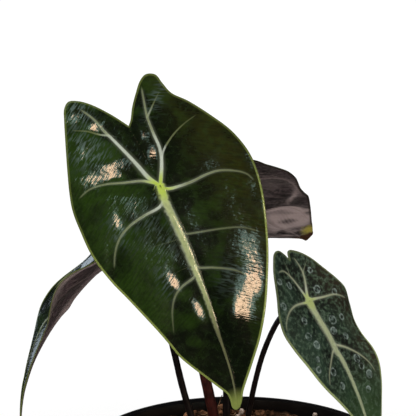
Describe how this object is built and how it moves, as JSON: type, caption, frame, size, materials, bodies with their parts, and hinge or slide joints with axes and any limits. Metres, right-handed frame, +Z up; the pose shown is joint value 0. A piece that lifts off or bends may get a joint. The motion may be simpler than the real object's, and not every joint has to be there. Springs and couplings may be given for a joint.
{
  "type": "potted alocasia suhirmaniana",
  "caption": "Young aroid house plant with arrowhead leaves on slim petioles, growing in a round tapered nursery pot of bark and coir mix.",
  "frame": {"origin": "centre of the pot's flat underside", "axes": "+Z up along the pot's axis, -Y towards the front of the plant, +X to its right"},
  "size_m": [0.1432, 0.1527, 0.2574],
  "materials": {
    "pot": "injection moulded black polypropylene, satin",
    "potting_mix": "moist coir and bark chips",
    "crown": "fibrous dark brown stem base",
    "petiole_red": "smooth reddish brown skin, satin",
    "petiole_dark": "smooth near-black skin, satin",
    "leaf_glossy": "glossy dark green leaf with pale veins, mauve underneath",
    "leaf_matte": "satin blue-green leaf with pale veins"
  },
  "bodies": {
    "root": {"pot": "pot", "potting_mix": "potting_mix", "crown": "crown", "front_leaf_petiole": "petiole_red", "front_leaf_blade": "leaf_glossy", "right_leaf_petiole": "petiole_dark", "right_leaf_blade": "leaf_matte", "rear_leaf_petiole": "petiole_dark", "rear_leaf_blade": "leaf_glossy", "left_leaf_petiole": "petiole_dark", "left_leaf_blade": "leaf_glossy"}
  },
  "joints": []
}
